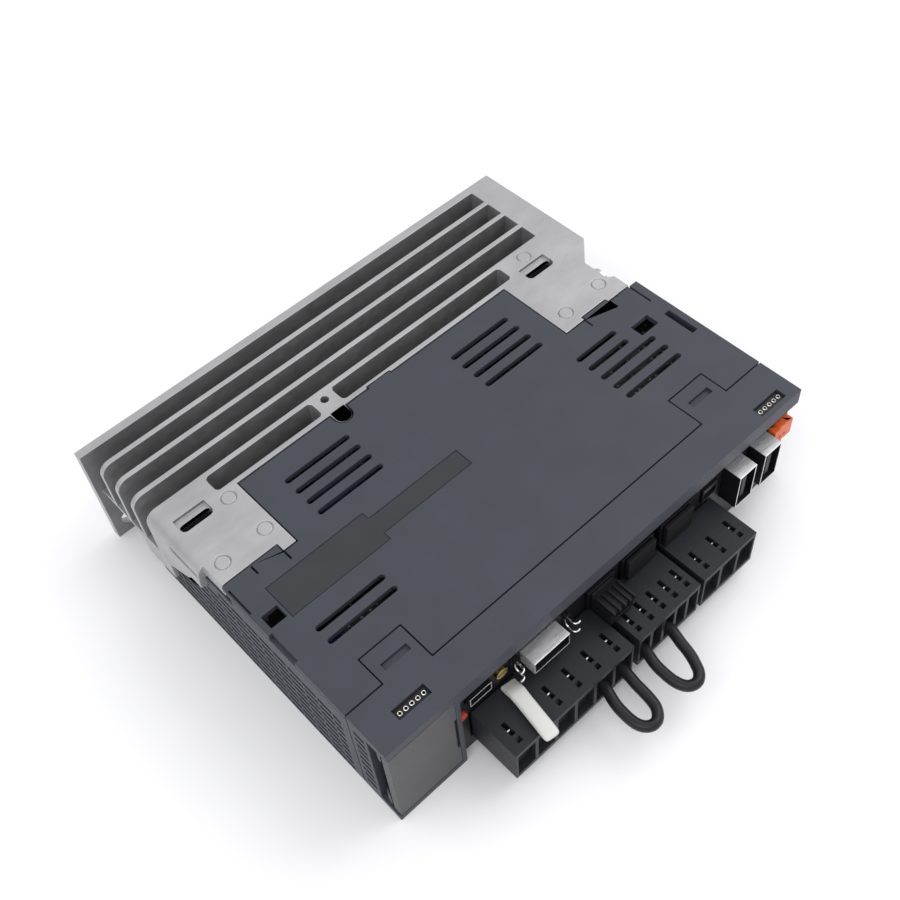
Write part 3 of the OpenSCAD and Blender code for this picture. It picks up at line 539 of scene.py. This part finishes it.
def contact_springs(number, centre, poles, pitch):
    """The bent spring tongues seen in the slots on top of a power plug."""
    shape = bmesh.new()
    for k in range(poles):
        x = centre + (k - (poles - 1) / 2) * pitch
        rows = []
        left, right = x - SPRING_HALF, x + SPRING_HALF
        for j in range(SPRING_STEPS + 1):
            share = j / SPRING_STEPS
            y = SPRING_Y + SPRING_RUN * share
            z = SPRING_Z + SPRING_RISE * math.sin(math.pi * share)
            under = z - SPRING_SHEET
            rows.append([
                shape.verts.new((px * MM, y * MM, pz * MM))
                for px, pz in ((left, z), (right, z), (right, under), (left, under))
            ])
        for here, there in zip(rows, rows[1:]):
            for j in range(4):
                shape.faces.new((here[j], here[(j + 1) % 4], there[(j + 1) % 4], there[j]))
        shape.faces.new(rows[0])
        shape.faces.new(reversed(rows[-1]))
    finish_mesh(shape, "contact_springs_%d" % number, "plug_%d" % number, "tinned_pins")


# Plug number, the middle of its poles, how many there are, and their pitch.
contact_springs(1, -28.4, 6, 7.5)
contact_springs(2, 9.2, 5, 5)
contact_springs(3, 35, 3, 7.5)


LATCH_D = 0.62


def wire_latch(node, x, side):
    """The bent wire latch beside the input and output connector; side is the way its hooks point."""
    low, top, hinge_y, hook_y = 25.1, 29.6, -67.0, -70.7
    bend, tip, knee, arm_end = 0.7, 1.7, 0.9, 1.4
    lean, drop = 0.15, 0.45
    points = (
        (x + side * tip, hook_y, low), (x + side * knee, hook_y, low), (x + side * lean, hook_y + drop, low),
        (x, hook_y + arm_end, low), (x, hinge_y - bend, low), (x, hinge_y, low + bend),
        (x, hinge_y, top - bend), (x, hinge_y - bend, top), (x, hook_y + arm_end, top),
        (x + side * lean, hook_y + drop, top), (x + side * knee, hook_y, top), (x + side * tip, hook_y, top),
    )
    wire(node + "_wire", points, LATCH_D, BODY_OF[node], "latch_wire", node)


wire_latch("io_latch_top", -35.2, -1)
wire_latch("io_latch_bottom", -16.2, 1)


# The cut corners of the lever's sections: their largest size, and their share of a section's height.
LEVER_CORNER = 0.7
LEVER_CORNER_SHARE = 0.3


def opening_lever():
    """The white lever: a narrow bar with round corners and a wider head over its round nose."""
    centre = Vector((-39.4, -76.1, 20))
    turn = Matrix.Rotation(math.radians(-8), 4, "Z")
    # Distance along the lever, half width, underside and upper side
    sections = (
        (-10.5, 1.9, 1.0, 2.1), (-10.1, 2.2, 0.75, 2.5), (-9.2, 2.45, 0.5, 2.9), (-5.0, 2.4, 0.35, 3.1),
        (0.0, 2.4, 0.35, 3.15), (3.4, 2.4, 0.35, 3.1), (4.4, 2.5, 0.35, 3.1), (5.2, 2.5, 0.3, 3.05),
        (6.6, 2.5, -0.3, 2.5), (7.6, 2.5, -1.1, 1.9), (8.6, 2.5, -1.2, 1.2), (9.4, 2.5, -0.9, 0.9),
        (9.8, 2.45, -0.4, 0.4),
    )
    shape = bmesh.new()
    loops = []
    for along, half, low, high in sections:
        soft = min(LEVER_CORNER, (high - low) * LEVER_CORNER_SHARE)
        outline = (
            (-half + soft, low), (half - soft, low), (half, low + soft), (half, high - soft),
            (half - soft, high), (-half + soft, high), (-half, high - soft), (-half, low + soft),
        )
        loops.append([
            shape.verts.new((turn @ Vector((x, along, z)) + centre) * MM) for x, z in outline
        ])
    for here, there in zip(loops, loops[1:]):
        for j in range(8):
            shape.faces.new((here[j], here[(j + 1) % 8], there[(j + 1) % 8], there[j]))
    shape.faces.new(loops[0])
    shape.faces.new(reversed(loops[-1]))
    piece = finish_mesh(shape, "opening_lever_bar", "lever", "lever_plastic")
    for face in piece.data.polygons:
        face.use_smooth = True
    smooth = piece.modifiers.new("smooth", "SUBSURF")
    smooth.levels = 2
    smooth.render_levels = 2
    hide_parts("opening_lever")


opening_lever()


# ------------------------------------------------------------------ stage and light
def pale_floor():
    """A wide pale floor under the drive."""
    bpy.ops.mesh.primitive_plane_add(size=6, location=(0, 0, 0))
    floor = bpy.context.object
    floor.name = "floor"
    look = Shader("floor_paper")
    look.colour(look.noise(60), (0.90, 0.90, 0.91), (0.92, 0.92, 0.93))
    look.set(Roughness=0.8, Specular_IOR_Level=0.1)
    floor.data.materials.append(look.material)


AIM_AT_M = Vector((0, 0, 0.02))


def area_light(name, at_m, size_m, power):
    """A soft square light turned to the drive."""
    data = bpy.data.lights.new(name, "AREA")
    data.energy = power
    data.size = size_m
    lamp = bpy.data.objects.new(name, data)
    lamp.location = at_m
    lamp.rotation_euler = (AIM_AT_M - Vector(at_m)).to_track_quat("-Z", "Y").to_euler()
    bpy.context.scene.collection.objects.link(lamp)


def studio():
    """Soft light from a bright sky and two large lamps."""
    world = bpy.data.worlds.new("studio")
    world.use_nodes = True
    bpy.context.scene.world = world
    tree = world.node_tree
    place = tree.nodes.new("ShaderNodeTexCoord")
    split = tree.nodes.new("ShaderNodeSeparateXYZ")
    ramp = tree.nodes.new("ShaderNodeValToRGB")
    ramp.color_ramp.elements[0].position = 0.02
    ramp.color_ramp.elements[0].color = (0.52, 0.52, 0.54, 1)
    ramp.color_ramp.elements[1].position = 0.7
    ramp.color_ramp.elements[1].color = (0.95, 0.95, 0.97, 1)
    tree.links.new(place.outputs["Generated"], split.inputs["Vector"])
    tree.links.new(split.outputs["Z"], ramp.inputs["Fac"])
    tree.links.new(ramp.outputs["Color"], tree.nodes["Background"].inputs["Color"])
    area_light("key", (0.62, -0.12, 0.75), 0.7, 2.8)
    area_light("fill", (-0.5, -0.3, 0.7), 0.8, 2.4)
    bpy.context.scene.view_settings.view_transform = "Standard"


pale_floor()
studio()
